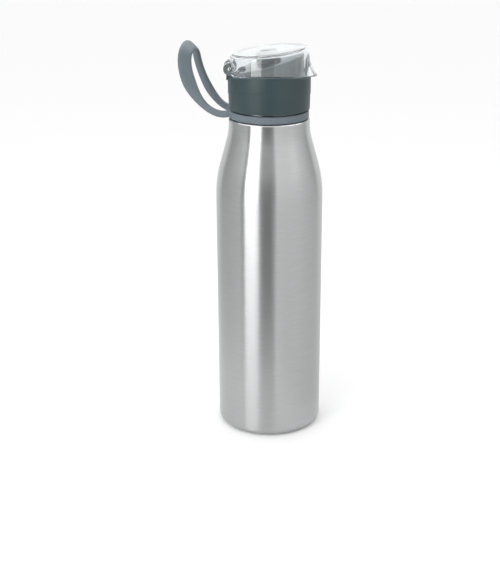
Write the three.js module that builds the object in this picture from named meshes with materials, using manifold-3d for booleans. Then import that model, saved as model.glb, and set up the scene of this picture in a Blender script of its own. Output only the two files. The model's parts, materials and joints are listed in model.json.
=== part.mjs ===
// Single-wall steel drinking bottle with a screw cap, a clear flip lid and a silicone carry strap.
// Millimetres, +Z up. The origin is on the bottle's axis, on the plane that it stands on.
// The lid's hinge is on the -X side and its thumb tab on the +X side.

import * as THREE from "three";
import { mergeVertices } from "three/addons/utils/BufferGeometryUtils.js";
import Module from "manifold-3d";

const wasm = await Module();
wasm.setup();

// Steel body
const bodyRadius = 35.5;
const steelWall = 0.6;
const baseFillet = 5.3;
const standingRingWidth = 3.2;
const baseLap = 2.2;
const baseBeadRadius = 19;
const baseBeadHalfWidth = 2.4;
const baseBeadHeight = 1.1;
const weldGap = 0.1;
const straightHeight = 163.5;
const shoulderRise = 51.8;
const shoulderShare = 0.595;
const throatShare = 0.29;
const throatStraight = 2.8;
const throatEdgeRadius = 0.9;
const ledgeWidth = 3.5;

// Neck and mouth
const neckRadius = 23;
const neckHeight = 18.7;
const lipWidth = 1.5;
const lipHeight = 1.6;

// Clearances between pieces
const seatGap = 0.3;
const threadGap = 0.4;
const strapRunningGap = 0.35;
const strapTopGap = 0.8;
const lidSeatGap = 0.35;
const pinGap = 0.1;

// Carry strap
const strapRingWall = 2.5;
const strapRingHeight = 5.3;
const strapRingBevel = 0.7;
const strapReach = 56.8;
const strapRise = 40.1;
const strapStandoff = 9.1;
const strapBow = 0.2;
const strapArchRadius = 8.8;
const strapLean = THREE.MathUtils.degToRad(16);
const strapRootPull = 18.8;
const strapTopPull = 15.6;
const strapDip = 7.9;
const strapRootWidth = 4.6;
const strapTopWidth = 9.4;
const strapThickness = 2.8;
const strapEdgeRounding = 0.7;
const strapFaceRounding = 0.57;
const strapToe = THREE.MathUtils.degToRad(36);
const strapAzimuth = THREE.MathUtils.degToRad(156);

// Screw cap
const sleeveWall = 1.2;
const capWall = 1.9;
const capDraft = 0.45;
const capTopThickness = 5.4;
const capRimDrop = 3.1;
const webThickness = 3.3;
const gasketThickness = 2;
const creaseRise = 14;
const creaseDrop = 4.2;
const creaseStep = 0.25;

// Spout
const spoutGap = 2.05;
const spoutWall = 1.8;
const deckRise = 5.6;
const deckTilt = THREE.MathUtils.degToRad(15.3);
const drinkingHoleRadius = 5.9;
const drinkingHoleX = -0.5;
const ventInset = 4.85;
const ventHoleRadius = 1.5;
const ventHeadRadius = 2.7;
const ventHeadHeight = 1.7;
const ventBulbRadius = 2.1;
const nubReach = 1.7;
const nubHeight = 3.2;
const nubWidth = 5;
const nubRise = 0.6;

// Flip lid
const lidInset = 0.6;
const lidWall = 1.8;
const lidHeight = 13.25;
const lidDraft = 0.8;
const lidSlope = 0.103;
const lidEdgeRadius = 2.5;
const tabReach = 5;
const tabFade = 4;
const tabThickness = 1.5;
const tabFullAngle = THREE.MathUtils.degToRad(15);
const tabEndAngle = THREE.MathUtils.degToRad(33);
const hingeReliefWidth = 23;
const hingeReliefRise = 1.5;
const hingeReliefCorner = 1.4;
const plugRadius = 7.75;
const plugNoseLength = 3;
const plugNoseTaper = 0.5;
const plugNoseGap = 0.6;
const studRadius = 3.2;
const studDepth = 2;
const bossRadius = 5.6;
const bossDepth = 1.5;

// Hinge
const hingeInset = 1.4;
const hingeRise = 2.4;
const knuckleRadius = 4;
const lugWidth = 9.6;
const lugStem = 4.4;
const armWidth = 3.9;
const hingeSideGap = 0.4;
const pinRadius = 1;
const pinRecessRadius = 1.75;
const pinRecessDepth = 0.9;

// Facets
const bodySides = 48;
const capSides = 48;
const lidSides = 60;
const smallSides = 16;
const strapSides = 12;
const strandSteps = 15;
const strapArchSteps = 10;
const lidStations = [0, 0.14, 0.32, 0.58, 1];

// Radii that follow from the neck outwards
const throatRadius = neckRadius + ledgeWidth;
const narrowing = bodyRadius - throatRadius;
const curvedRise = shoulderRise - throatStraight;
const fullestCurve = (curvedRise ** 2 + narrowing ** 2) / (2 * narrowing);
const shoulderRadius = shoulderShare * fullestCurve;
const throatCurveRadius = throatShare * fullestCurve;
const sleeveInner = neckRadius + threadGap;
const sleeveOuter = sleeveInner + sleeveWall;
const capInner = sleeveOuter + seatGap;
const capRadius = capInner + capWall;
const lidRadius = capRadius - lidInset;
const lidInner = lidRadius - lidWall;
const spoutRadius = lidInner - spoutGap;
const spoutInner = spoutRadius - spoutWall;

// Heights that follow from the straight wall upwards
const shoulderHeight = straightHeight + shoulderRise;
const mouthZ = shoulderHeight + neckHeight;
const strapBottom = shoulderHeight + strapRunningGap;
const strapMid = strapBottom + strapRingHeight / 2;
const capBottom = strapBottom + strapRingHeight + strapTopGap;
const gasketBottom = mouthZ + seatGap;
const gasketSeat = gasketBottom + gasketThickness + seatGap;
const sleeveTop = gasketSeat + webThickness;
const capLedge = sleeveTop + seatGap;
const capTop = capLedge + capTopThickness;
const lidRim = capTop + lidSeatGap;
const lidTop = lidRim + lidHeight;
const deckZ = capTop + deckRise;
const deckSlope = Math.tan(deckTilt);
const hingeX = -(capRadius - hingeInset);
const hingeZ = capTop + hingeRise;

// Materials in the colours of the real finishes
const brushedSteel = new THREE.MeshStandardMaterial({ color: 0xb4b6b7, roughness: 0.32, metalness: 1 });
const pinSteel = new THREE.MeshStandardMaterial({ color: 0xc4c6c8, roughness: 0.25, metalness: 1 });
const strapSilicone = new THREE.MeshStandardMaterial({ color: 0x7c868b, roughness: 0.6, metalness: 0 });
const capPlastic = new THREE.MeshStandardMaterial({ color: 0x465558, roughness: 0.5, metalness: 0 });
const sealSilicone = new THREE.MeshStandardMaterial({ color: 0x2c3538, roughness: 0.55, metalness: 0 });
const clearPlastic = new THREE.MeshStandardMaterial({
  color: 0xe6eef2,
  roughness: 0.06,
  metalness: 0,
  transparent: true,
  opacity: 0.3,
});

// A closed geometry as a solid that can be joined and cut
function solid(geometry) {
  const bare = geometry.index ? geometry.toNonIndexed() : geometry.clone();
  bare.deleteAttribute("normal");
  bare.deleteAttribute("uv");
  const merged = mergeVertices(bare, 1e-4);
  const triVerts = [];
  const index = merged.index.array;
  for (let i = 0; i < index.length; i += 3) {
    const [a, b, c] = [index[i], index[i + 1], index[i + 2]];
    if (a !== b && b !== c && c !== a) triVerts.push(a, b, c);
  }
  const vertProperties = new Float32Array(merged.attributes.position.array);
  const mesh = new wasm.Mesh({ numProp: 3, vertProperties, triVerts: new Uint32Array(triVerts) });
  return new wasm.Manifold(mesh);
}

function geometryOf(body) {
  const { vertProperties, triVerts, numProp } = body.getMesh();
  const positions = new Float32Array((vertProperties.length / numProp) * 3);
  for (let i = 0; i < positions.length / 3; i += 1) {
    for (let k = 0; k < 3; k += 1) positions[i * 3 + k] = vertProperties[i * numProp + k];
  }
  const geometry = new THREE.BufferGeometry();
  geometry.setAttribute("position", new THREE.BufferAttribute(positions, 3));
  geometry.setIndex(new THREE.BufferAttribute(new Uint32Array(triVerts), 1));
  geometry.computeVertexNormals();
  return geometry;
}

function piece(name, body, material) {
  const geometry = body instanceof THREE.BufferGeometry ? body : geometryOf(body);
  const mesh = new THREE.Mesh(geometry, material);
  mesh.name = name;
  return mesh;
}

// A profile of [radius, height] points turned about Z, outside upwards and inside downwards
function turned(profile, sides) {
  const points = profile.map(([r, z]) => new THREE.Vector2(r, z));
  return new THREE.LatheGeometry(points, sides).rotateX(Math.PI / 2);
}

// Points on a circular arc in the profile plane, both ends included
function arc(centreR, centreZ, radius, from, to, steps) {
  const points = [];
  for (let i = 0; i <= steps; i += 1) {
    const angle = from + ((to - from) * i) / steps;
    points.push([centreR + radius * Math.cos(angle), centreZ + radius * Math.sin(angle)]);
  }
  return points;
}

// An outline in the XZ plane drawn out along Y, to the same distance on both sides
function prism(shape, halfDepth, curveSegments = 12) {
  const options = { depth: 2 * halfDepth, bevelEnabled: false, curveSegments };
  return new THREE.ExtrudeGeometry(shape, options).rotateX(Math.PI / 2).translate(0, halfDepth, 0);
}

// All that lies above a shallow arch, which falls by drop at the distance reach from the axis
function aboveArch(height, drop, reach) {
  const half = reach * 1.5;
  const fall = drop * (half / reach) ** 2;
  const shape = new THREE.Shape();
  shape.moveTo(-half, height - fall);
  shape.quadraticCurveTo(0, height + fall, half, height - fall);
  shape.lineTo(half, height + 2 * half);
  shape.lineTo(-half, height + 2 * half);
  shape.closePath();
  return solid(prism(shape, half, 24));
}

// All that lies above a plane that rises towards +X
function aboveSlope(height, slope, reach) {
  const half = reach * 1.5;
  const shape = new THREE.Shape();
  shape.moveTo(-half, height - slope * half);
  shape.lineTo(half, height + slope * half);
  shape.lineTo(half, height + 2 * half);
  shape.lineTo(-half, height + 2 * half);
  shape.closePath();
  return solid(prism(shape, half));
}

function upright(radius, fromZ, toZ, x, sides) {
  const profile = [[0, fromZ], [radius, fromZ], [radius, toZ], [0, toZ]];
  return solid(turned(profile, sides).translate(x, 0, 0));
}

// A cylinder along the hinge axis
function hingeCylinder(radius, fromY, toY) {
  const geometry = new THREE.CylinderGeometry(radius, radius, toY - fromY, 2 * smallSides);
  return solid(geometry.translate(hingeX, (fromY + toY) / 2, hingeZ));
}

// The body's outline above the straight wall: a round shoulder, a cone and a hollow throat, all tangent.
// Both curves are shares of the fullest pair that fits the rise. The inset moves the outline inwards.
function shoulderOutline(inset) {
  const outer = bodyRadius - inset;
  const inner = throatRadius - inset;
  const round = shoulderRadius - inset;
  const hollow = throatCurveRadius + inset;
  const throatZ = shoulderHeight - throatStraight;
  const across = round + hollow - narrowing;
  const turn = Math.atan2(curvedRise, across) - Math.acos((round + hollow) / Math.hypot(across, curvedRise));
  const shoulder = arc(outer - round, straightHeight, round, 0, turn, 5);
  const throat = arc(inner + hollow, throatZ, hollow, Math.PI + turn, Math.PI, 4);
  return [...shoulder, ...throat];
}

function bottleShell() {
  const ringOuter = bodyRadius - baseFillet;
  const ringInner = ringOuter - standingRingWidth;
  const innerLedge = shoulderHeight - steelWall;
  const neckInner = neckRadius - steelWall;
  const lipInner = neckRadius - lipWidth;
  const lipRound = lipWidth / 2;
  const edgeR = throatRadius - throatEdgeRadius;
  const outside = [
    [ringInner, 0],
    ...arc(ringOuter, baseFillet, baseFillet, -Math.PI / 2, 0, 4),
    ...shoulderOutline(0),
    ...arc(edgeR, shoulderHeight - throatEdgeRadius, throatEdgeRadius, 0, Math.PI / 2, 3),
    [neckRadius, shoulderHeight],
    ...arc(neckRadius - lipRound, mouthZ - lipRound, lipRound, 0, Math.PI, 4),
  ];
  const inside = [
    [lipInner, mouthZ - lipHeight],
    [neckInner, mouthZ - lipHeight - steelWall],
    [neckInner, innerLedge],
    [edgeR, innerLedge],
    ...shoulderOutline(steelWall).reverse(),
    ...arc(ringOuter, baseFillet, baseFillet - steelWall, 0, -Math.PI / 2, 4),
    [ringInner, steelWall],
    [ringInner, 0],
  ];
  return turned([...outside, ...inside], bodySides);
}

// Pressed disc welded over the shell's inturned rim, with one stiffening bead
function baseDisc() {
  const low = steelWall + weldGap;
  const rim = bodyRadius - baseFillet - standingRingWidth + baseLap;
  const bead = (base) => [
    [baseBeadRadius - baseBeadHalfWidth, base],
    [baseBeadRadius - baseBeadHalfWidth / 2, base + baseBeadHeight],
    [baseBeadRadius + baseBeadHalfWidth / 2, base + baseBeadHeight],
    [baseBeadRadius + baseBeadHalfWidth, base],
  ];
  const under = [[0, low], ...bead(low), [rim, low]];
  const over = [[rim, low + steelWall], ...bead(low + steelWall).reverse(), [0, low + steelWall]];
  return turned([...under, ...over], bodySides);
}

// Band section with round edges, across its width and its thickness
function strapSection(width, thickness) {
  const points = [];
  for (let i = 0; i < strapSides; i += 1) {
    const angle = (2 * Math.PI * i) / strapSides;
    const c = Math.cos(angle);
    const s = Math.sin(angle);
    const across = Math.sign(c) * Math.abs(c) ** strapEdgeRounding * (width / 2);
    const through = Math.sign(s) * Math.abs(s) ** strapFaceRounding * (thickness / 2);
    points.push([across, through]);
  }
  return points;
}

// Centre line of the loop: up one strand, over the top and down the other. The strands lean together
// towards the top. X runs away from the bottle, Y across the loop.
function strapPath() {
  const root = strapMid;
  const archZ = root + strapRise - strapArchRadius;
  const rootX = Math.sqrt((neckRadius + strapRunningGap + strapRingWall / 2) ** 2 - strapStandoff ** 2);
  const topY = strapArchRadius * Math.cos(strapLean);
  const topZ = archZ + strapArchRadius * Math.sin(strapLean);
  const pullY = topY + strapTopPull * Math.sin(strapLean);
  const pullZ = topZ - strapTopPull * Math.cos(strapLean);
  const strand = (side) => [
    new THREE.Vector3(rootX, side * strapStandoff, root),
    new THREE.Vector3(rootX + strapRootPull, side * (strapStandoff + strapBow), root - strapDip),
    new THREE.Vector3(strapReach, side * pullY, pullZ),
    new THREE.Vector3(strapReach, side * topY, topZ),
  ];
  const samples = [];
  const rise = new THREE.CubicBezierCurve3(...strand(-1));
  for (let i = 0; i <= strandSteps; i += 1) samples.push(rise.getPoint(i / strandSteps));
  for (let i = 1; i < strapArchSteps; i += 1) {
    const angle = Math.PI - strapLean - ((Math.PI - 2 * strapLean) * i) / strapArchSteps;
    const y = strapArchRadius * Math.cos(angle);
    samples.push(new THREE.Vector3(strapReach, y, archZ + strapArchRadius * Math.sin(angle)));
  }
  const fall = new THREE.CubicBezierCurve3(...strand(1));
  for (let i = strandSteps; i >= 0; i -= 1) samples.push(fall.getPoint(i / strandSteps));
  return samples;
}

// One section of the band. Its width stands upright at the ring and lies along X at the top, and the toe
// turns its outer edge away from the loop's middle.
function strapStation(path, i) {
  const point = path[i];
  const before = path[Math.max(i - 1, 0)];
  const after = path[Math.min(i + 1, path.length - 1)];
  const along = after.clone().sub(before).normalize();
  const lift = THREE.MathUtils.smoothstep(point.z, strapMid, strapMid + strapRise / 2);
  const across = new THREE.Vector3(Math.abs(along.z) + 1e-6, 0, -Math.abs(along.x));
  across.addScaledVector(along, -across.dot(along)).normalize();
  across.applyAxisAngle(along, -strapToe * lift);
  const through = new THREE.Vector3().crossVectors(along, across);
  const width = THREE.MathUtils.lerp(strapRootWidth, strapTopWidth, lift);
  return strapSection(width, strapThickness).map(([a, t]) =>
    point.clone().addScaledVector(across, a).addScaledVector(through, t),
  );
}

// The loop's band, swept along its centre line
function strapLoop() {
  const path = strapPath();
  const positions = [];
  const count = path.length;
  const sections = path.map((_, i) => strapStation(path, i));
  const triangle = (a, b, c) => [a, b, c].forEach((p) => positions.push(p.x, p.y, p.z));
  for (let i = 0; i + 1 < count; i += 1) {
    for (let k = 0; k < strapSides; k += 1) {
      const n = (k + 1) % strapSides;
      triangle(sections[i][k], sections[i][n], sections[i + 1][n]);
      triangle(sections[i][k], sections[i + 1][n], sections[i + 1][k]);
    }
  }
  for (let k = 1; k + 1 < strapSides; k += 1) {
    triangle(sections[0][0], sections[0][k + 1], sections[0][k]);
    triangle(sections[count - 1][0], sections[count - 1][k], sections[count - 1][k + 1]);
  }
  const geometry = new THREE.BufferGeometry();
  geometry.setAttribute("position", new THREE.Float32BufferAttribute(positions, 3));
  return geometry;
}

function carryStrap() {
  const inner = neckRadius + strapRunningGap;
  const outer = inner + strapRingWall;
  const top = strapBottom + strapRingHeight;
  const ring = turned(
    [
      [inner, strapBottom],
      [outer - strapRingBevel, strapBottom],
      [outer, strapBottom + strapRingBevel],
      [outer, top - strapRingBevel],
      [outer - strapRingBevel, top],
      [inner, top],
      [inner, strapBottom],
    ],
    capSides,
  );
  const bore = upright(inner, strapBottom - strapRingHeight, top + strapRingHeight, 0, capSides);
  return solid(ring).add(solid(strapLoop()).subtract(bore));
}

// Outer cap: a skirt, an arched top ledge round the spout and the hinge lug
function capShell() {
  const opening = spoutRadius + seatGap;
  const low = capRadius - capDraft;
  const high = capTop + capRimDrop;
  const body = solid(turned(
    [
      [capInner, capBottom],
      [low, capBottom],
      [capRadius - creaseStep, capBottom + creaseRise],
      [capRadius - creaseStep, high],
      [opening, high],
      [opening, capLedge],
      [capInner, capLedge],
      [capInner, capBottom],
    ],
    capSides,
  ));
  const band = solid(turned(
    [
      [capInner + capWall / 2, capBottom + creaseRise - 2 * creaseDrop],
      [capRadius, capBottom + creaseRise - 2 * creaseDrop],
      [capRadius, high],
      [capInner + capWall / 2, high],
      [capInner + capWall / 2, capBottom + creaseRise - 2 * creaseDrop],
    ],
    capSides,
  )).intersect(aboveArch(capBottom + creaseRise, creaseDrop, capRadius));
  const skirt = body.add(band).subtract(aboveArch(capTop, capRimDrop, capRadius));
  const stem = new THREE.Shape();
  stem.moveTo(hingeX - lugStem / 2, capLedge + seatGap);
  stem.lineTo(hingeX + lugStem / 2, capLedge + seatGap);
  stem.lineTo(hingeX + lugStem / 2, hingeZ);
  stem.lineTo(hingeX - lugStem / 2, hingeZ);
  stem.closePath();
  const lug = solid(prism(stem, lugWidth / 2)).add(hingeCylinder(knuckleRadius, -lugWidth / 2, lugWidth / 2));
  const spoutRoom = upright(opening, capLedge - seatGap, hingeZ + 2 * knuckleRadius, 0, capSides);
  return skirt.add(lug.subtract(spoutRoom)).subtract(hingeCylinder(pinRadius + pinGap, -lugWidth, lugWidth));
}

// Inner cap: the threaded sleeve, the gasket seat and the spout with its slanted deck
function spoutCore() {
  const tall = deckZ + deckSlope * spoutRadius;
  const outside = solid(turned(
    [
      [0, capBottom + seatGap],
      [sleeveOuter, capBottom + seatGap],
      [sleeveOuter, sleeveTop],
      [spoutRadius, sleeveTop],
      [spoutRadius, tall + spoutWall],
      [0, tall + spoutWall],
    ],
    capSides,
  )).subtract(aboveSlope(deckZ, deckSlope, capRadius));
  const hollow = upright(spoutInner, capBottom - seatGap, tall + spoutWall, 0, capSides)
    .subtract(aboveSlope(deckZ - spoutWall / Math.cos(deckTilt), deckSlope, capRadius));
  const bore = upright(sleeveInner, capBottom - seatGap, gasketSeat, 0, capSides);
  const drinkingHole = upright(drinkingHoleRadius, gasketSeat, tall, drinkingHoleX, 2 * smallSides);
  const ventHole = solid(onDeck(turned(
    [[0, -2 * spoutWall], [ventHoleRadius, -2 * spoutWall], [ventHoleRadius, spoutWall], [0, spoutWall]],
    smallSides,
  )));
  return outside.add(latchNub()).subtract(hollow).subtract(bore).subtract(drinkingHole).subtract(ventHole);
}

// Rounded nub on the spout's tall side, which the lid snaps over
function latchNub() {
  const nub = new THREE.SphereGeometry(1, smallSides, smallSides / 2);
  nub.scale(nubReach + spoutWall / 2, nubWidth / 2, nubHeight / 2);
  return solid(nub.translate(spoutRadius - spoutWall / 2, 0, capTop + nubRise));
}

// Moves a piece made about the origin to the vent's place, square to the slanted deck
function onDeck(geometry) {
  const x = -(spoutRadius - ventInset);
  return geometry.rotateY(-deckTilt).translate(x, 0, deckZ + deckSlope * x);
}

// One-piece silicone vent valve: a domed head above the deck, a stem and a holding bulb below it
function ventValve() {
  const stem = ventHoleRadius - seatGap;
  const under = -spoutWall - seatGap;
  const bulb = ventBulbRadius;
  const dome = [];
  const steps = 5;
  for (let i = 0; i <= steps; i += 1) {
    const angle = (Math.PI / 2) * (i / steps);
    dome.push([ventHeadRadius * Math.cos(angle), seatGap + ventHeadHeight * Math.sin(angle)]);
  }
  dome[steps][0] = 0;
  const low = under - 2 * bulb;
  const profile = [[0, low], [bulb / 2, low], [bulb, under], [stem, under], [stem, seatGap], ...dome];
  return onDeck(turned(profile, smallSides));
}

function mouthGasket() {
  const inner = spoutInner + seatGap;
  const outer = sleeveInner - seatGap;
  const top = gasketBottom + gasketThickness;
  const low = gasketBottom;
  const section = [[inner, low], [outer, low], [outer, top], [inner, top], [inner, low]];
  return turned(section, capSides);
}

function hingePin() {
  const half = lugWidth / 2 + hingeSideGap + armWidth - pinRecessDepth;
  return hingeCylinder(pinRadius, -half, half);
}

// A point of the lid's wall, outside or inside, at a share of the wall's height
function lidWallAt(radius, topZ, share) {
  return [radius - lidDraft * share, lidRim + (topZ - lidRim) * share];
}

// Carries a turned lid geometry to its real form: the rim follows the cap's arch and the top slopes up
// towards the thumb tab. The flare is how far the tab stands out at the rim.
function bendLid(geometry, flare) {
  const wallStart = lidTop - lidEdgeRadius;
  const position = geometry.attributes.position;
  for (let i = 0; i < position.count; i += 1) {
    const [x, y, z] = [position.getX(i), position.getY(i), position.getZ(i)];
    const radius = Math.hypot(x, y);
    const up = THREE.MathUtils.clamp((z - lidRim) / (wallStart - lidRim), 0, 1);
    const window = 1 - THREE.MathUtils.smoothstep(Math.abs(Math.atan2(y, x)), tabFullAngle, tabEndAngle);
    const out = up < 1 ? flare * window * Math.exp((lidRim - z) / tabFade) : 0;
    const grow = radius > 0 ? (radius + out) / radius : 1;
    const drop = capRimDrop * (x / capRadius) ** 2;
    position.setXYZ(i, x * grow, y * grow, z + lidSlope * x * up - drop * (1 - up));
  }
  return solid(geometry);
}

function lidShell() {
  const topRadius = lidRadius - lidDraft;
  const edge = lidEdgeRadius;
  const innerEdge = Math.max(edge - lidWall, lidWall / 3);
  const ceiling = lidTop - lidWall;
  const profile = [
    ...lidStations.map((share) => lidWallAt(lidRadius, lidTop - edge, share)),
    ...arc(topRadius - edge, lidTop - edge, edge, 0, Math.PI / 2, 3).slice(1),
    [topRadius / 2, lidTop],
    [0, lidTop],
    [0, ceiling],
    [topRadius / 2, ceiling],
    ...arc(topRadius - lidWall - innerEdge, ceiling - innerEdge, innerEdge, Math.PI / 2, 0, 2),
    ...lidStations.map((share) => lidWallAt(lidInner, ceiling - innerEdge, share)).reverse().slice(1),
    lidWallAt(lidRadius, lidTop - edge, 0),
  ];
  return bendLid(turned(profile, lidSides), 0);
}

// Thumb tab: a curved lip that leaves the lid's wall and is hollow underneath
function thumbTab() {
  const wallTop = lidTop - lidEdgeRadius;
  const outside = lidStations.map((share) => lidWallAt(lidRadius, wallTop, share));
  const inside = lidStations.map((share) => lidWallAt(lidRadius - tabThickness, wallTop, share)).reverse();
  const lip = bendLid(turned([...outside, ...inside, outside[0]], lidSides), tabReach);
  return lip.trimByPlane([1, 0, 0], capRadius / 2);
}

// Cut-away of the lid's wall round the hinge, with round upper corners
function hingeRelief() {
  const half = hingeReliefWidth / 2;
  const low = lidRim - 2 * capRimDrop;
  const high = lidRim + hingeReliefRise - capRimDrop;
  const shape = new THREE.Shape();
  shape.moveTo(-half, low);
  shape.lineTo(half, low);
  const cornerY = half - hingeReliefCorner;
  const cornerZ = high - hingeReliefCorner;
  shape.lineTo(half, cornerZ);
  shape.absarc(cornerY, cornerZ, hingeReliefCorner, 0, Math.PI / 2, false);
  shape.lineTo(-cornerY, high);
  shape.absarc(-cornerY, cornerZ, hingeReliefCorner, Math.PI / 2, Math.PI, false);
  shape.closePath();
  const along = new THREE.ExtrudeGeometry(shape, { depth: capRadius, bevelEnabled: false, curveSegments: 5 });
  return solid(along.rotateX(Math.PI / 2).rotateZ(Math.PI / 2).translate(-1.5 * capRadius, 0, 0));
}

function lidCover() {
  const inner = lugWidth / 2 + hingeSideGap;
  const outer = inner + armWidth;
  const slot = hingeCylinder(knuckleRadius + hingeSideGap, -inner, inner);
  let lid = lidShell().add(thumbTab()).subtract(hingeRelief());
  for (const side of [-1, 1]) {
    const [from, to] = side < 0 ? [-outer, -inner] : [inner, outer];
    const end = side < 0 ? [-outer - 1, -outer + pinRecessDepth] : [outer - pinRecessDepth, outer + 1];
    lid = lid.add(hingeCylinder(knuckleRadius, from, to));
    lid = lid.subtract(hingeCylinder(pinRecessRadius, ...end));
  }
  lid = lid.subtract(slot).subtract(hingeCylinder(pinRadius + pinGap, -outer - 1, outer + 1));
  const ceiling = aboveSlope(lidTop - lidWall / 2, lidSlope, capRadius);
  const boss = upright(bossRadius, plugTop() + seatGap, lidTop, drinkingHoleX, 2 * smallSides);
  const stud = upright(studRadius, plugTop() - studDepth, lidTop, drinkingHoleX, smallSides);
  return lid.add(boss.add(stud).subtract(ceiling));
}

function plugTop() {
  return lidTop - lidWall - bossDepth - seatGap;
}

// Soft plug under the lid: a round block that closes on the slanted deck, with a nose in the drinking hole
function lidPlug() {
  const clearDeck = deckZ + seatGap / Math.cos(deckTilt);
  const block = upright(plugRadius, deckZ - plugRadius, plugTop(), drinkingHoleX, 2 * smallSides)
    .intersect(aboveSlope(clearDeck, deckSlope, capRadius));
  const root = drinkingHoleRadius - plugNoseGap;
  const noseEnd = deckZ - plugNoseLength;
  const nose = solid(turned(
    [[0, noseEnd], [root - plugNoseTaper, noseEnd], [root, deckZ], [root, plugTop()], [0, plugTop()]],
    2 * smallSides,
  ).translate(drinkingHoleX, 0, 0));
  const socketEnd = plugTop() - studDepth - seatGap;
  const socket = upright(studRadius + seatGap, socketEnd, plugTop() + 1, drinkingHoleX, smallSides);
  return block.add(nose).subtract(socket);
}

const bottle = new THREE.Group();
bottle.add(piece("bottle_shell", bottleShell(), brushedSteel));
bottle.add(piece("base_disc", baseDisc(), brushedSteel));

const strap = piece("carry_strap", carryStrap(), strapSilicone);
strap.rotation.z = strapAzimuth;
bottle.add(strap);

const cap = new THREE.Group();
cap.add(piece("cap_shell", capShell(), capPlastic));
cap.add(piece("spout_core", spoutCore(), capPlastic));
cap.add(piece("mouth_gasket", mouthGasket(), sealSilicone));
cap.add(piece("vent_valve", ventValve(), sealSilicone));
cap.add(piece("hinge_pin", hingePin(), pinSteel));
cap.add(piece("lid_cover", lidCover(), clearPlastic));
cap.add(piece("lid_plug", lidPlug(), sealSilicone));
bottle.add(cap);

export default bottle;
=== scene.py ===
import json
import math
import bpy
import bmesh
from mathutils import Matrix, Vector


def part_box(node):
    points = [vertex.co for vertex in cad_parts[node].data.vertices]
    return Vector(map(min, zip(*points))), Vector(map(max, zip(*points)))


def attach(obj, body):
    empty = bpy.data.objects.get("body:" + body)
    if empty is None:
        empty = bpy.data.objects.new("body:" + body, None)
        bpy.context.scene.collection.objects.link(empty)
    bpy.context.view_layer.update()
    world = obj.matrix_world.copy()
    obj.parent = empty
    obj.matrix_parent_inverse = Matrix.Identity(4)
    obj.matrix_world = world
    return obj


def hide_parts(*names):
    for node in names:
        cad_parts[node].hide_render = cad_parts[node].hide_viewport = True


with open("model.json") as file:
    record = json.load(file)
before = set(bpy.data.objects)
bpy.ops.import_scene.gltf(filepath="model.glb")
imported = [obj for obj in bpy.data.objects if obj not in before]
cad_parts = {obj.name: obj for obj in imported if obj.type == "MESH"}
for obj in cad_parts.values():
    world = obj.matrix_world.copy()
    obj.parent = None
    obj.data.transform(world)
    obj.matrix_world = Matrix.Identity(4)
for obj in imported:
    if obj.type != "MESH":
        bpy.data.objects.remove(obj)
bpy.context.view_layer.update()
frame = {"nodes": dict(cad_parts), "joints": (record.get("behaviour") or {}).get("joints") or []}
mm = 0.001
print("frame loaded:", len(frame["nodes"]), "nodes")

# places that the frame gives, in millimetres
joints = {joint["name"]: joint for joint in frame["joints"]}
hingeX = joints["lid_hinge"]["pos_m"][0] / mm
hingeZ = joints["lid_hinge"]["pos_m"][2] / mm
swivelZ = joints["strap_swivel"]["pos_m"][2] / mm
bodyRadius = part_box("bottle_shell")[1].x / mm
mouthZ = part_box("bottle_shell")[1].z / mm
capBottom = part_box("cap_shell")[0].z / mm
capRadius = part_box("cap_shell")[1].x / mm
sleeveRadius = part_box("spout_core")[1].x / mm
pastPiece = 2.0  # how far a cutting tool runs on past the piece that it cuts


# small helpers for working in edit mode

def pickNothing():
    bpy.ops.object.select_all(action="DESELECT")


def pickOnly(piece):
    pickNothing()
    piece.select_set(True)
    bpy.context.view_layer.objects.active = piece


def named(name):
    piece = bpy.context.object
    piece.name = name
    piece.data.name = name
    return piece


def selectVerts(piece, test):
    bpy.ops.mesh.select_mode(type="VERT")
    bpy.ops.mesh.select_all(action="DESELECT")
    work = bmesh.from_edit_mesh(piece.data)
    for vert in work.verts:
        vert.select = test(vert.co / mm)
    work.select_flush(True)
    bmesh.update_edit_mesh(piece.data)


def closeUp(piece):
    bpy.ops.mesh.select_all(action="SELECT")
    bpy.ops.mesh.remove_doubles(threshold=0.001 * mm)
    bpy.ops.mesh.normals_make_consistent(inside=False)
    bpy.ops.object.mode_set(mode="OBJECT")
    return piece


def roundCorner(centreR, centreZ, radius, fromDeg, toDeg, steps=6):
    points = []
    for k in range(steps + 1):
        angle = math.radians(fromDeg + (toDeg - fromDeg) * k / steps)
        points.append((centreR + radius * math.cos(angle), centreZ + radius * math.sin(angle)))
    return points


def spinProfile(name, profile, steps=160):  # a chain of points, extruded one by one, then spun about Z
    pickNothing()
    bpy.ops.mesh.primitive_plane_add(size=mm, location=(0, 0, 0))
    piece = named(name)
    bpy.ops.object.mode_set(mode="EDIT")
    bpy.ops.mesh.select_mode(type="VERT")
    bpy.ops.mesh.select_all(action="SELECT")
    bpy.ops.mesh.merge(type="CENTER")
    bpy.ops.transform.translate(value=(profile[0][0] * mm, 0, profile[0][1] * mm))
    for (r0, z0), (r1, z1) in zip(profile, profile[1:]):
        move = ((r1 - r0) * mm, 0, (z1 - z0) * mm)
        bpy.ops.mesh.extrude_vertices_move(TRANSFORM_OT_translate={"value": move})
    bpy.ops.mesh.select_all(action="SELECT")
    bpy.ops.mesh.spin(steps=steps, angle=2 * math.pi, center=(0, 0, 0), axis=(0, 0, 1))
    return closeUp(piece)


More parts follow.
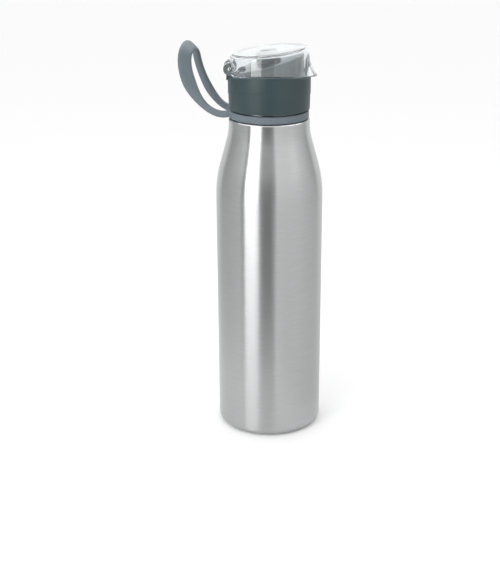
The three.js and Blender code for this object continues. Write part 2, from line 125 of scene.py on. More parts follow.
def loftSections(name, sections):  # one face, extruded from section to section
    pickNothing()
    bpy.ops.mesh.primitive_circle_add(vertices=len(sections[0]), radius=mm, fill_type="NGON")
    piece = named(name)
    bpy.ops.object.mode_set(mode="EDIT")
    bpy.ops.mesh.select_mode(type="FACE")
    bpy.ops.mesh.select_all(action="SELECT")
    for k, section in enumerate(sections):
        if k:
            bpy.ops.mesh.extrude_region_move()
        work = bmesh.from_edit_mesh(piece.data)
        front = next(face for face in work.faces if face.select)
        for vert, point in zip(front.verts, section):
            vert.co = Vector(point) * mm
        bmesh.update_edit_mesh(piece.data)
    bpy.ops.mesh.select_mode(type="EDGE")  # the first extrusion leaves that end open, so it is filled
    bpy.ops.mesh.select_non_manifold(extend=False)
    bpy.ops.mesh.edge_face_add()
    return closeUp(piece)


def rod(name, radius, fromY, toY, x, z, sides=64, soften=0.0):  # a round bar along Y
    pickNothing()
    place = (x * mm, (fromY + toY) / 2 * mm, z * mm)
    bpy.ops.mesh.primitive_cylinder_add(vertices=sides, radius=radius * mm, depth=(toY - fromY) * mm,
                                        location=place, rotation=(math.pi / 2, 0, 0))
    piece = named(name)
    bpy.ops.object.transform_apply(location=True, rotation=True, scale=True)
    if soften:
        softenEdges(piece, soften, 3, 50)
    return piece


def post(name, radius, fromZ, toZ, x=0.0, sides=96):  # a round bar along Z
    pickNothing()
    bpy.ops.mesh.primitive_cylinder_add(vertices=sides, radius=radius * mm, depth=(toZ - fromZ) * mm,
                                        location=(x * mm, 0, (fromZ + toZ) / 2 * mm))
    piece = named(name)
    bpy.ops.object.transform_apply(location=True, rotation=True, scale=True)
    return piece


def block(name, low, high):
    pickNothing()
    centre = [(a + b) / 2 * mm for a, b in zip(low, high)]
    bpy.ops.mesh.primitive_cube_add(size=1, location=centre)
    piece = named(name)
    bpy.ops.transform.resize(value=[(b - a) * mm for a, b in zip(low, high)])
    bpy.ops.object.transform_apply(location=True, rotation=True, scale=True)
    return piece


def sliceAway(piece, z, slope, above):  # cuts along a plane that rises towards +X and fills the cut
    pickOnly(piece)
    bpy.ops.object.mode_set(mode="EDIT")
    bpy.ops.mesh.select_all(action="SELECT")
    bpy.ops.mesh.bisect(plane_co=(0, 0, z * mm), plane_no=Vector((-slope, 0, 1)).normalized(),
                        use_fill=True, clear_inner=not above, clear_outer=above)
    return closeUp(piece)


def finishWith(piece, kind, **settings):
    pickOnly(piece)
    modifier = piece.modifiers.new(kind.title(), kind)
    for key, value in settings.items():
        setattr(modifier, key, value)
    bpy.ops.object.modifier_apply(modifier=modifier.name)
    return piece


def softenEdges(piece, width, segments, sharperThan):  # rounds edges that turn by more than so many degrees
    return finishWith(piece, "BEVEL", width=width * mm, segments=segments, limit_method="ANGLE",
                      angle_limit=math.radians(sharperThan))


def combine(piece, tool, operation):
    finishWith(piece, "BOOLEAN", object=tool, operation=operation, solver="EXACT")
    bpy.data.objects.remove(tool)
    return piece


def smooth(piece, degrees=35):
    pickOnly(piece)
    bpy.ops.object.shade_smooth_by_angle(angle=math.radians(degrees))
    return piece


def fit(piece, body, node, material):
    piece.data.materials.clear()
    piece.data.materials.append(material)
    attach(piece, body)
    if node:
        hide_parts(node)
    print("fitted", piece.name, "on", body, len(piece.data.polygons), "faces")


def blendStep(value, low, high):
    t = min(1.0, max(0.0, (value - low) / (high - low)))
    return t * t * (3 - 2 * t)


# finishes

def newFinish(name):
    material = bpy.data.materials.new(name)
    material.use_nodes = True
    tree = material.node_tree
    return material, tree, tree.nodes["Principled BSDF"]


def objectNoise(tree, scale, stretch=(1, 1, 1), detail=3.0, roughness=0.6):
    coords = tree.nodes.new("ShaderNodeTexCoord")
    mapping = tree.nodes.new("ShaderNodeMapping")
    mapping.inputs["Scale"].default_value = stretch
    noise = tree.nodes.new("ShaderNodeTexNoise")
    noise.inputs["Scale"].default_value = scale
    noise.inputs["Detail"].default_value = detail
    noise.inputs["Roughness"].default_value = roughness
    tree.links.new(coords.outputs["Object"], mapping.inputs["Vector"])
    tree.links.new(mapping.outputs["Vector"], noise.inputs["Vector"])
    return noise.outputs["Fac"]


def spread(tree, source, low, high):  # maps a noise from its usual middle range onto low to high
    ranger = tree.nodes.new("ShaderNodeMapRange")
    ranger.inputs["From Min"].default_value = 0.3
    ranger.inputs["From Max"].default_value = 0.7
    ranger.inputs["To Min"].default_value = low
    ranger.inputs["To Max"].default_value = high
    tree.links.new(source, ranger.inputs["Value"])
    return ranger.outputs["Result"]


def twoTones(tree, source, dark, light):
    ramp = tree.nodes.new("ShaderNodeValToRGB")
    ramp.color_ramp.elements[0].position = 0.3
    ramp.color_ramp.elements[1].position = 0.7
    ramp.color_ramp.elements[0].color = (*dark, 1)
    ramp.color_ramp.elements[1].color = (*light, 1)
    tree.links.new(source, ramp.inputs["Fac"])
    return ramp.outputs["Color"]


def bumpFrom(tree, source, strength, distance):
    bump = tree.nodes.new("ShaderNodeBump")
    bump.inputs["Strength"].default_value = strength
    bump.inputs["Distance"].default_value = distance * mm
    tree.links.new(source, bump.inputs["Height"])
    return bump.outputs["Normal"]


steelLook = {"dark": (0.416, 0.422, 0.424), "light": (0.482, 0.488, 0.49), "roughness": (0.275, 0.325),
             "anisotropy": 0.98, "lineScale": 90.0, "lineStretch": (1.0, 1.0, 40.0)}


def brushedSteel():  # fine lines round the body, which draw every reflection out upwards
    material, tree, shader = newFinish("brushedSteel")
    lines = objectNoise(tree, steelLook["lineScale"], steelLook["lineStretch"], detail=4.0)
    shader.inputs["Metallic"].default_value = 1.0
    shader.inputs["Anisotropic"].default_value = steelLook["anisotropy"]
    shader.inputs["Anisotropic Rotation"].default_value = 0.25
    tangent = tree.nodes.new("ShaderNodeTangent")
    tangent.direction_type = "RADIAL"
    tangent.axis = "Z"
    tree.links.new(tangent.outputs["Tangent"], shader.inputs["Tangent"])
    tree.links.new(twoTones(tree, lines, steelLook["dark"], steelLook["light"]), shader.inputs["Base Color"])
    tree.links.new(spread(tree, lines, *steelLook["roughness"]), shader.inputs["Roughness"])
    return material


def spunSteel():  # rings left by the press and the lathe under the foot
    material, tree, shader = newFinish("spunSteel")
    coords = tree.nodes.new("ShaderNodeTexCoord")
    rings = tree.nodes.new("ShaderNodeTexWave")
    rings.wave_type = "RINGS"
    rings.rings_direction = "Z"
    rings.inputs["Scale"].default_value = 500
    rings.inputs["Distortion"].default_value = 1.5
    rings.inputs["Detail"].default_value = 3
    tree.links.new(coords.outputs["Object"], rings.inputs["Vector"])
    shader.inputs["Metallic"].default_value = 1.0
    tree.links.new(twoTones(tree, rings.outputs["Fac"], steelLook["dark"], steelLook["light"]),
                   shader.inputs["Base Color"])
    tree.links.new(spread(tree, rings.outputs["Fac"], 0.28, 0.36), shader.inputs["Roughness"])
    return material


def pinSteel():
    material, tree, shader = newFinish("pinSteel")
    grain = objectNoise(tree, 900, (1, 12, 1))
    shader.inputs["Metallic"].default_value = 1.0
    tree.links.new(twoTones(tree, grain, (0.62, 0.63, 0.64), (0.8, 0.81, 0.82)), shader.inputs["Base Color"])
    tree.links.new(spread(tree, grain, 0.16, 0.26), shader.inputs["Roughness"])
    return material


def mouldedSkin(name, dark, light, roughness, grainScale, bump, shine):  # moulding with a fine eroded grain
    material, tree, shader = newFinish(name)
    shader.inputs["Specular IOR Level"].default_value = shine
    clouds = objectNoise(tree, 60)
    grain = objectNoise(tree, grainScale, detail=2.0)
    tree.links.new(twoTones(tree, clouds, dark, light), shader.inputs["Base Color"])
    tree.links.new(spread(tree, grain, *roughness), shader.inputs["Roughness"])
    tree.links.new(bumpFrom(tree, grain, bump, 0.03), shader.inputs["Normal"])
    return material


def clearPlastic():  # with a trace of haze, which the edges show most
    material, tree, shader = newFinish("clearPlastic")
    haze = objectNoise(tree, 180)
    shader.inputs["Transmission Weight"].default_value = 0.965
    shader.inputs["IOR"].default_value = 1.5
    shader.inputs["Base Color"].default_value = (0.94, 0.975, 0.99, 1)
    tree.links.new(spread(tree, haze, 0.008, 0.03), shader.inputs["Roughness"])
    return material


steel = brushedSteel()
footSteel = spunSteel()
drawnPin = pinSteel()
capSkin = mouldedSkin("capSkin", (0.019, 0.039, 0.044), (0.024, 0.045, 0.05), (0.4, 0.5), 2600, 0.12, 0.4)
spoutSkin = mouldedSkin("spoutSkin", (0.018, 0.034, 0.037), (0.023, 0.039, 0.042), (0.05, 0.09),
                        2600, 0.01, 0.9)
strapSkin = mouldedSkin("strapSkin", (0.092, 0.12, 0.14), (0.107, 0.136, 0.157), (0.5, 0.62),
                        1800, 0.15, 0.45)
sealSkin = mouldedSkin("sealSkin", (0.018, 0.027, 0.03), (0.024, 0.034, 0.038), (0.2, 0.3), 1800, 0.03, 0.5)
clear = clearPlastic()
print("finishes mixed")

# steel body: shell, rolled neck thread and pressed base
body = {"wall": 0.6, "footFillet": 5.3, "footWidth": 3.2, "straight": 163.5, "ledge": 215.3,
        "throatStraight": 2.8, "throatRadius": 26.5, "edge": 0.9, "shoulderShare": 0.595, "throatShare": 0.29,
        "neck": 23.0, "neckFillet": 0.4, "threadRoot": 22.7, "threadFrom": 222.2, "threadTo": 231.8,
        "threadRunIn": 0.4, "threadRunOut": 0.3, "lip": 1.5, "lipUnder": 1.6, "lipFoot": 2.2}


def shoulderCurve(inset):
    narrowing = bodyRadius - body["throatRadius"]
    rise = body["ledge"] - body["throatStraight"] - body["straight"]
    fullest = (rise ** 2 + narrowing ** 2) / (2 * narrowing)
    shoulder = body["shoulderShare"] * fullest - inset
    throat = body["throatShare"] * fullest + inset
    across = shoulder + throat - narrowing
    turn = math.atan2(rise, across) - math.acos((shoulder + throat) / math.hypot(across, rise))
    turnDeg = math.degrees(turn)
    low = roundCorner(bodyRadius - inset - shoulder, body["straight"], shoulder, 0, turnDeg, 20)
    throatCentre = body["throatRadius"] - inset + throat
    high = roundCorner(throatCentre, body["straight"] + rise, throat, 180 + turnDeg, 180, 14)
    return low + high


def makeBottle():
    ringOuter = bodyRadius - body["footFillet"]
    ringInner = ringOuter - body["footWidth"]
    wall, ledge, edge = body["wall"], body["ledge"], body["edge"]
    neck, root, lipRound = body["neck"], body["threadRoot"], body["lip"] / 2
    edgeR = body["throatRadius"] - edge
    outside = [(ringInner, 0)]
    outside += roundCorner(ringOuter, body["footFillet"], body["footFillet"], -90, 0, 12)
    outside += shoulderCurve(0)
    outside += roundCorner(edgeR, ledge - edge, edge, 0, 90, 6)
    fillet = body["neckFillet"]
    outside += [(neck + fillet, ledge), (neck + fillet / 4, ledge + fillet / 4), (neck, ledge + fillet)]
    outside += [(neck, body["threadFrom"] - body["threadRunIn"]), (root, body["threadFrom"])]
    outside += [(root, body["threadTo"]), (neck, body["threadTo"] + body["threadRunOut"])]
    outside += roundCorner(neck - lipRound, mouthZ - lipRound, lipRound, 0, 180, 10)
    inside = [(neck - body["lip"], mouthZ - body["lipUnder"]), (root - wall, mouthZ - body["lipFoot"])]
    inside += [(root - wall, ledge - wall), (edgeR, ledge - wall)]
    inside += list(reversed(shoulderCurve(wall)))
    inside += roundCorner(ringOuter, body["footFillet"], body["footFillet"] - wall, 0, -90, 12)
    inside += [(ringInner, wall), (ringInner, 0)]
    return smooth(spinProfile("bottleShell", outside + inside, 192), 30)


thread = {"pitch": 4.0, "turns": 1.9, "startZ": 223.6, "crest": 23.28, "foot": 22.5, "footHalf": 1.15,
          "crestHalf": 0.45, "flankHalf": 1.035, "sunk": 0.1, "edge": 0.16, "runOut": 50.0,
          "stepsPerTurn": 72}


def makeThread():  # one rolled start, running out into the neck at both ends
    total = thread["turns"] * 360
    steps = int(thread["turns"] * thread["stepsPerTurn"])
    sections = []
    for k in range(steps + 1):
        degrees = total * k / steps
        ease = blendStep(min(degrees, total - degrees), 0, thread["runOut"])
        start = body["threadRoot"] - thread["sunk"]
        crest = start + (thread["crest"] - start) * ease
        z = thread["startZ"] + thread["pitch"] * degrees / 360
        outline = [(thread["foot"], -thread["footHalf"]), (body["threadRoot"], -thread["flankHalf"])]
        outline += [(crest, -thread["crestHalf"]), (crest, thread["crestHalf"])]
        outline += [(body["threadRoot"], thread["flankHalf"]), (thread["foot"], thread["footHalf"])]
        angle = math.radians(degrees)
        sections.append([(r * math.cos(angle), r * math.sin(angle), z + dz) for r, dz in outline])
    return smooth(softenEdges(loftSections("neckThread", sections), thread["edge"], 3, 25), 40)


base = {"low": 0.7, "rim": 29.2, "edge": 0.15, "bead": 19.0, "beadHalf": 2.4, "beadHeight": 1.1,
        "beadSteps": 12}


def makeBase():
    def face(z):
        points = [(0, z)]
        for k in range(base["beadSteps"] + 1):  # the bead is a smooth wave
            t = k / base["beadSteps"]
            lift = base["beadHeight"] / 2 * (1 - math.cos(2 * math.pi * t))
            points.append((base["bead"] + base["beadHalf"] * (2 * t - 1), z + lift))
        return points + [(base["rim"] - base["edge"], z)]

    low, high = base["low"], base["low"] + body["wall"]
    profile = face(low) + [(base["rim"], low + base["edge"]), (base["rim"], high - base["edge"])]
    profile += list(reversed(face(high)))
    return smooth(spinProfile("baseDisc", profile, 128), 30)


fit(makeBottle(), "bottle", "bottle_shell", steel)
fit(makeThread(), "bottle", None, steel)
fit(makeBase(), "bottle", "base_disc", footSteel)

# carry strap: ring and loop, run together as one moulding
strap = {"inner": 23.35, "outer": 25.85, "height": 5.0, "edge": 0.7, "innerEdge": 0.3, "azimuth": 156.0,
         "reach": 56.8, "rise": 40.1, "standoff": 9.1, "bow": 0.2, "arch": 8.8, "lean": 16.0,
         "rootPull": 18.8, "topPull": 15.6, "dip": 7.9, "rootWidth": 4.6, "topWidth": 9.1, "thickness": 2.8,
         "toe": 36.0, "edgeRound": 0.7, "faceRound": 0.57, "sides": 40, "strandSteps": 30, "archSteps": 22,
         "grain": 0.28}


def strapLine():  # up one strand, over the top and down the other; x leads away from the bottle
    archZ = swivelZ + strap["rise"] - strap["arch"]
    ringMiddle = (strap["inner"] + strap["outer"]) / 2
    rootX = math.sqrt(ringMiddle ** 2 - strap["standoff"] ** 2)
    lean = math.radians(strap["lean"])
    topY, topZ = strap["arch"] * math.cos(lean), archZ + strap["arch"] * math.sin(lean)
    pullY, pullZ = topY + strap["topPull"] * math.sin(lean), topZ - strap["topPull"] * math.cos(lean)

    def strand(side):
        bowed = side * (strap["standoff"] + strap["bow"])
        p0 = Vector((rootX, side * strap["standoff"], swivelZ))
        p1 = Vector((rootX + strap["rootPull"], bowed, swivelZ - strap["dip"]))
        p2 = Vector((strap["reach"], side * pullY, pullZ))
        p3 = Vector((strap["reach"], side * topY, topZ))
        line = []
        for k in range(strap["strandSteps"] + 1):
            t = k / strap["strandSteps"]
            u = 1 - t
            line.append(p0 * u ** 3 + p1 * 3 * t * u ** 2 + p2 * 3 * t * t * u + p3 * t ** 3)
        return line

    top = []
    for k in range(1, strap["archSteps"]):
        angle = math.pi - lean - (math.pi - 2 * lean) * k / strap["archSteps"]
        out, up = strap["arch"] * math.cos(angle), strap["arch"] * math.sin(angle)
        top.append(Vector((strap["reach"], out, archZ + up)))
    return strand(-1) + top + list(reversed(strand(1)))


def bandSection(line, k):
    along = (line[min(k + 1, len(line) - 1)] - line[max(k - 1, 0)]).normalized()
    lift = blendStep(line[k].z, swivelZ, swivelZ + strap["rise"] / 2)
    across = Vector((abs(along.z) + 1e-6, 0, -abs(along.x)))
    across = (across - along * across.dot(along)).normalized()
    toe = math.radians(-strap["toe"] * lift)
    across = across * math.cos(toe) + along.cross(across) * math.sin(toe)
    through = along.cross(across)
    halfWidth = (strap["rootWidth"] + (strap["topWidth"] - strap["rootWidth"]) * lift) / 2
    points = []
    for n in range(strap["sides"]):
        angle = 2 * math.pi * n / strap["sides"]
        c, s = math.cos(angle), math.sin(angle)
        a = math.copysign(abs(c) ** strap["edgeRound"], c) * halfWidth
        t = math.copysign(abs(s) ** strap["faceRound"], s) * strap["thickness"] / 2
        points.append(line[k] + across * a + through * t)
    return points


def makeStrap():
    line = strapLine()
    loop = loftSections("strapLoop", [bandSection(line, k) for k in range(len(line))])
    low, high, edge = swivelZ - strap["height"] / 2, swivelZ + strap["height"] / 2, strap["edge"]
    inner, slant = strap["inner"], strap["innerEdge"]
    profile = [(inner, low + slant), (inner + slant, low)]
    profile += roundCorner(strap["outer"] - edge, low + edge, edge, -90, 0, 6)
    profile += roundCorner(strap["outer"] - edge, high - edge, edge, 0, 90, 6)
    profile += [(inner + slant, high), (inner, high - slant), (inner, low + slant)]
    ring = spinProfile("carryStrap", profile, 160)
    combine(ring, loop, "UNION")
    finishWith(ring, "REMESH", mode="VOXEL", voxel_size=strap["grain"] * mm)
    finishWith(ring, "SMOOTH", factor=0.5, iterations=4)
    pickOnly(ring)
    ring.rotation_euler = (0, 0, math.radians(strap["azimuth"]))
    bpy.ops.object.transform_apply(location=True, rotation=True, scale=True)
    bpy.ops.object.shade_smooth()
    return ring


fit(makeStrap(), "strap", "carry_strap", strapSkin)

# screw cap: matt outer shell with its arched crease and hinge lug
cap = {"inner": 24.9, "lowRadius": 26.35, "underCrease": 26.55, "ledge": 240.2, "top": 245.6, "rimDrop": 3.1,
       "fullDropUnder": 1.0, "crease": 235.75, "creaseSoft": 0.3, "creaseDrop": 4.2, "opening": 22.65,
       "edge": 0.7, "skirtEdge": 0.15, "innerEdge": 0.3, "lugHalf": 4.8, "lugEdge": 0.3, "lugFootInset": 0.1,
       "stemHalf": 2.2}
hinge = {"pin": 1.0, "pinHalf": 8.2, "pinEdge": 0.25, "armFrom": 5.2, "armTo": 9.1, "armEdge": 0.35,
         "recess": 1.75, "recessDepth": 0.9, "knuckle": 4.0, "slot": 4.4, "bore": 1.1, "boreHalf": 9.0}


def capDrop(r, z):  # how far a row falls towards the two sides of the cap
    fullFrom = cap["top"] - cap["fullDropUnder"]
    middle = (cap["crease"], cap["creaseDrop"])
    if r < cap["inner"] + cap["innerEdge"] / 2 and z < cap["top"] - 2 * cap["innerEdge"]:
        middle = (cap["ledge"], 0)  # the inner faces stay level up to the ledge
    rows = [(capBottom, 0), middle, (fullFrom, cap["rimDrop"])]
    for (z0, d0), (z1, d1) in zip(rows, rows[1:]):
        if z <= z1:
            return d0 + (d1 - d0) * max(0.0, z - z0) / (z1 - z0)
    return cap["rimDrop"]


def makeCapShell():
    top, crease, edge = cap["top"], cap["crease"], cap["edge"]
    inner, innerEdge, skirtEdge = cap["inner"], cap["innerEdge"], cap["skirtEdge"]
    profile = [(inner, capBottom + innerEdge), (inner + innerEdge, capBottom)]
    profile += roundCorner(cap["lowRadius"] - skirtEdge, capBottom + skirtEdge, skirtEdge, -90, 0, 3)
    under, soft = cap["underCrease"], cap["creaseSoft"]
    profile += [(under, crease - soft), (under + soft / 10, crease - soft / 2)]  # a step with soft ends
    profile += [(capRadius - soft / 5, crease + soft / 3), (capRadius, crease + soft * 7 / 6)]
    profile += roundCorner(capRadius - edge, top - edge, edge, 0, 90, 6)
    profile += roundCorner(cap["opening"] + innerEdge, top - innerEdge, innerEdge, 90, 180, 3)
    profile += [(cap["opening"], cap["ledge"]), (inner, cap["ledge"]), (inner, capBottom + innerEdge)]
    shell = spinProfile("capShell", profile, 192)
    for vert in shell.data.vertices:
        x, y, z = vert.co / mm
        vert.co.z -= capDrop(math.hypot(x, y), z) * (x / capRadius) ** 2 * mm
    half, stem = cap["lugHalf"], cap["stemHalf"]
    footHalf = half - cap["lugFootInset"]
    lug = rod("lug", hinge["knuckle"], -half, half, hingeX, hingeZ, 72, soften=cap["lugEdge"])
    footLow = cap["ledge"] + innerEdge
    foot = block("lugFoot", (hingeX - stem, -footHalf, footLow), (hingeX + stem, footHalf, hingeZ))
    combine(lug, foot, "UNION")
    spoutRoom = post("spoutRoom", cap["opening"], cap["ledge"] - pastPiece, hingeZ + 5 * pastPiece, sides=192)
    combine(lug, spoutRoom, "DIFFERENCE")
    combine(shell, lug, "UNION")
    pinBore = rod("pinBore", hinge["bore"], -hinge["boreHalf"], hinge["boreHalf"], hingeX, hingeZ, 32)
    combine(shell, pinBore, "DIFFERENCE")
    return smooth(shell, 32)


# inner cap: thread sleeve, gasket seat and the spout with its slanted deck
spout = {"bore": 23.4, "sleeveLow": 222.05, "sleeveTop": 239.9, "sleeveEdge": 0.3, "seat": 236.6,
         "radius": 22.35, "inner": 20.55, "deckZ": 251.2, "deckTilt": 15.3, "deckWall": 1.8, "holeX": -0.5,
         "hole": 5.9, "ventX": -17.5, "ventHole": 1.5, "nub": (21.45, 0, 246.2), "nubSize": (2.6, 2.5, 1.6),
         "rimRound": 0.5}
deckSlope = math.tan(math.radians(spout["deckTilt"]))


def tiltOntoDeck(piece):  # from upright at the origin to square on the deck at the vent
    pickOnly(piece)
    piece.rotation_euler = (0, -math.radians(spout["deckTilt"]), 0)
    piece.location = (spout["ventX"] * mm, 0, (spout["deckZ"] + deckSlope * spout["ventX"]) * mm)
    bpy.ops.object.transform_apply(location=True, rotation=True, scale=True)
    return piece


def makeSpoutCore():
    low, top, edge = spout["sleeveLow"], spout["sleeveTop"], spout["sleeveEdge"]
    tall = spout["deckZ"] + deckSlope * spout["radius"] + 2 * pastPiece
    profile = [(0, low), (sleeveRadius, low), (sleeveRadius, top - edge), (sleeveRadius - edge, top)]
    profile += [(spout["radius"], top), (spout["radius"], tall), (0, tall)]
    core = spinProfile("spoutCore", profile, 160)
    sliceAway(core, spout["deckZ"], deckSlope, above=True)
    softenEdges(core, spout["rimRound"], 4, 50)
    pickNothing()
    bpy.ops.mesh.primitive_uv_sphere_add(segments=32, ring_count=16, radius=1)
    nub = named("latchNub")
    nub.scale = [value * mm for value in spout["nubSize"]]
    nub.location = [value * mm for value in spout["nub"]]
    bpy.ops.object.transform_apply(location=True, rotation=True, scale=True)
    combine(core, nub, "UNION")
    hollow = post("hollow", spout["inner"], low - pastPiece, tall, sides=128)
    underDeck = spout["deckZ"] - spout["deckWall"] / math.cos(math.radians(spout["deckTilt"]))
    sliceAway(hollow, underDeck, deckSlope, above=True)
    combine(core, hollow, "DIFFERENCE")
    combine(core, post("sleeveBore", spout["bore"], low - pastPiece, spout["seat"], sides=128), "DIFFERENCE")
    combine(core, post("drinkingHole", spout["hole"], spout["seat"], tall, spout["holeX"], 64), "DIFFERENCE")
    combine(core, tiltOntoDeck(post("ventHole", spout["ventHole"], -5, 5, 0, 32)), "DIFFERENCE")
    return smooth(core, 32)


vent = {"head": 2.7, "headHeight": 1.7, "gap": 0.3, "stem": 1.2, "bulb": 2.1, "bulbEdge": 0.25, "edge": 0.2,
        "domeSteps": 12}


def makeVentValve():
    gap, bulb, stem, edge = vent["gap"], vent["bulb"], vent["stem"], vent["edge"]
    under = -spout["deckWall"] - gap
    bottom = under - 2 * bulb
    profile = [(0, bottom), (bulb / 2 - edge, bottom), (bulb / 2, bottom + edge)]
    profile += [(bulb, under - vent["bulbEdge"]), (bulb - edge, under), (stem, under), (stem, gap)]
    profile += [(vent["head"] - edge, gap), (vent["head"], gap + edge)]
    for k in range(1, vent["domeSteps"]):
        angle = math.pi / 2 * k / vent["domeSteps"]
        lift = (vent["headHeight"] - edge) * math.sin(angle)
        profile.append((vent["head"] * math.cos(angle), gap + edge + lift))
    profile.append((0, gap + vent["headHeight"]))
    return smooth(tiltOntoDeck(spinProfile("ventValve", profile, 48)))


gasket = {"inner": 20.85, "outer": 23.1, "low": 234.3, "high": 236.3, "edge": 0.35}


def makeGasket():
    low, high, edge = gasket["low"], gasket["high"], gasket["edge"]
    profile = roundCorner(gasket["inner"] + edge, low + edge, edge, 180, 270, 4)
    profile += roundCorner(gasket["outer"] - edge, low + edge, edge, 270, 360, 4)
    profile += roundCorner(gasket["outer"] - edge, high - edge, edge, 0, 90, 4)
    profile += roundCorner(gasket["inner"] + edge, high - edge, edge, 90, 180, 4)
    return smooth(spinProfile("mouthGasket", profile + profile[:1], 128))


def makePin():
    half = hinge["pinHalf"]
    return smooth(rod("hingePin", hinge["pin"], -half, half, hingeX, hingeZ, 40, soften=hinge["pinEdge"]))


fit(makeCapShell(), "cap", "cap_shell", capSkin)
fit(makeSpoutCore(), "cap", "spout_core", spoutSkin)
fit(makeVentValve(), "cap", "vent_valve", sealSkin)
fit(makeGasket(), "mouth_seal", "mouth_gasket", sealSkin)
fit(makePin(), "cap", "hinge_pin", drawnPin)

# clear flip lid
lid = {"radius": 26.2, "wall": 1.8, "rim": 245.95, "height": 13.25, "draft": 0.8, "slope": 0.103, "edge": 2.5,
       "innerEdge": 0.7, "foot": 0.35, "rows": 22, "rowCrowding": 1.4, "topRings": (0.7, 0.4, 0.15, 0),
       "tabReach": 5.0, "tabFade": 4.0, "tabFull": 15.0, "tabEnd": 33.0, "lipWall": 1.5, "lipSink": 0.22,
       "lipRaise": 0.06, "reliefHalf": 11.5, "reliefTop": 244.35, "reliefCorner": 1.4, "boss": 5.6,
       "bossLow": 255.9, "stud": 3.2, "studLow": 253.6, "weld": 0.002}
lidTop = lid["rim"] + lid["height"]
wallTop = lidTop - lid["edge"]
wallShares = [(k / lid["rows"]) ** lid["rowCrowding"] for k in range(lid["rows"] + 1)]  # closer near the foot


def wallRow(radius, topZ, share):
    low = lid["rim"] + lid["foot"]
    return radius - lid["draft"] * share, low + (topZ - low) * share


def lidOutline():
    ceiling = lidTop - lid["wall"]
    innerTop = ceiling - lid["innerEdge"]
    inner, topRadius, foot = lid["radius"] - lid["wall"], lid["radius"] - lid["draft"], lid["foot"]
    outer = roundCorner(lid["radius"] - foot, lid["rim"] + foot, foot, -90, 0, 4)
    outer += [wallRow(lid["radius"], wallTop, share) for share in wallShares[1:]]
    outer += roundCorner(topRadius - lid["edge"], wallTop, lid["edge"], 0, 90, 10)[1:]
    outer += [(topRadius * share, lidTop) for share in lid["topRings"]]
    under = [(topRadius * share, ceiling) for share in reversed(lid["topRings"])]
    under += roundCorner(topRadius - lid["wall"] - lid["innerEdge"], innerTop, lid["innerEdge"], 90, 0, 5)
    under += [wallRow(inner, innerTop, share) for share in reversed(wallShares[:-1])]
    under += roundCorner(inner + foot, lid["rim"] + foot, foot, 180, 270, 4)[1:]
    return outer + under + outer[:1]


def lipOutline():  # a lip of even thickness, which leaves the wall and is hollow underneath
    radius, half = lid["radius"] - lid["lipSink"], lid["lipWall"] / 2
    low, squash = lid["rim"] + lid["foot"], lid["foot"] / half
    outer = [wallRow(radius, wallTop, share) for share in wallShares]
    inner = [wallRow(radius - lid["lipWall"], wallTop, share) for share in reversed(wallShares)]
    halfRound = roundCorner(radius - half, low, half, 180, 360, 8)
    foot = [(r, low + (z - low) * squash) for r, z in halfRound]
    return [(r, z + lid["lipRaise"]) for r, z in foot[:-1] + outer + inner]


def bendLid(shell, reach):  # arched foot, sloping top and the flare of the thumb tab
    for vert in shell.data.vertices:
        x, y, z = vert.co / mm
        radius = math.hypot(x, y)
        up = min(1.0, max(0.0, (z - lid["rim"]) / (wallTop - lid["rim"])))
        window = 1 - blendStep(abs(math.degrees(math.atan2(y, x))), lid["tabFull"], lid["tabEnd"])
        flare = reach * window * math.exp((lid["rim"] - z) / lid["tabFade"]) * (1 - up ** 4)
        grow = (radius + flare) / radius if radius > 1 else 1
        drop = cap["rimDrop"] * (x / capRadius) ** 2
        vert.co = Vector((x * grow, y * grow, z + lid["slope"] * x * up - drop * (1 - up))) * mm


def cutRelief(shell):  # the foot's opening at the back, with rounded upper corners
    half, deep = lid["reliefHalf"], lid["rim"] - 4 * pastPiece
    relief = block("relief", (-1.5 * capRadius, -half, deep), (-0.5 * capRadius, half, lid["reliefTop"]))
    bpy.ops.object.mode_set(mode="EDIT")
    selectVerts(relief, lambda place: place.z > deep + pastPiece)
    bpy.ops.mesh.select_mode(type="EDGE")
    work = bmesh.from_edit_mesh(relief.data)
    for line in work.edges:
        a, b = line.verts
        line.select = a.select and b.select and abs(a.co.y - b.co.y) < mm
    bmesh.update_edit_mesh(relief.data)
    bpy.ops.mesh.bevel(offset=lid["reliefCorner"] * mm, segments=6, affect="EDGES")
    bpy.ops.object.mode_set(mode="OBJECT")
    combine(shell, relief, "DIFFERENCE")


def addHingeArms(shell):
    armFrom, armTo = hinge["armFrom"], hinge["armTo"]
    for side in (-1, 1):
        low, high = sorted((side * armFrom, side * armTo))
        arm = rod("arm", hinge["knuckle"], low, high, hingeX, hingeZ, 72, soften=hinge["armEdge"])
        combine(shell, arm, "UNION")
        low, high = sorted((side * (armTo - hinge["recessDepth"]), side * (armTo + pastPiece)))
        combine(shell, rod("recess", hinge["recess"], low, high, hingeX, hingeZ, 40), "DIFFERENCE")
    combine(shell, rod("lugRoom", hinge["slot"], -armFrom, armFrom, hingeX, hingeZ, 72), "DIFFERENCE")
    past = armTo + pastPiece
    combine(shell, rod("bore", hinge["bore"], -past, past, hingeX, hingeZ, 40), "DIFFERENCE")


def addPlugStud(shell):  # a boss under the ceiling and the stud that the plug sits on
    inCeiling = lidTop - lid["wall"] / 2
    for radius, low in ((lid["boss"], lid["bossLow"]), (lid["stud"], lid["studLow"])):
        stem = post("boss", radius, low, inCeiling + 3 * pastPiece, spout["holeX"], 64)
        sliceAway(stem, inCeiling, lid["slope"], above=True)
        combine(shell, stem, "UNION")


